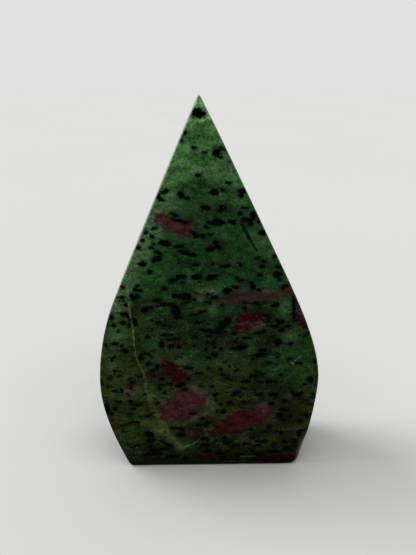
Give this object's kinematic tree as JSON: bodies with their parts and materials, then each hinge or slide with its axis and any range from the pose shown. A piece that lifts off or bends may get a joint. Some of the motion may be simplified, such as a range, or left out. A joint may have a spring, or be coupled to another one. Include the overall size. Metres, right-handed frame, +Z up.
{
  "type": "ruby in zoisite",
  "caption": "Free-standing polished slab of ruby in zoisite, ground to a pointed flame outline with a flat base, flat faces and a square, softly rounded edge.",
  "frame": {"origin": "middle of the flat base that the stone stands on", "axes": "+Z up to the point, -Y out of the front face, +X to the right seen from the front"},
  "size_m": [0.0648, 0.026, 0.11],
  "materials": {
    "ruby_in_zoisite": "polished green zoisite with red corundum and black hornblende"
  },
  "bodies": {
    "root": {"polished_stone": "ruby_in_zoisite"}
  },
  "joints": []
}
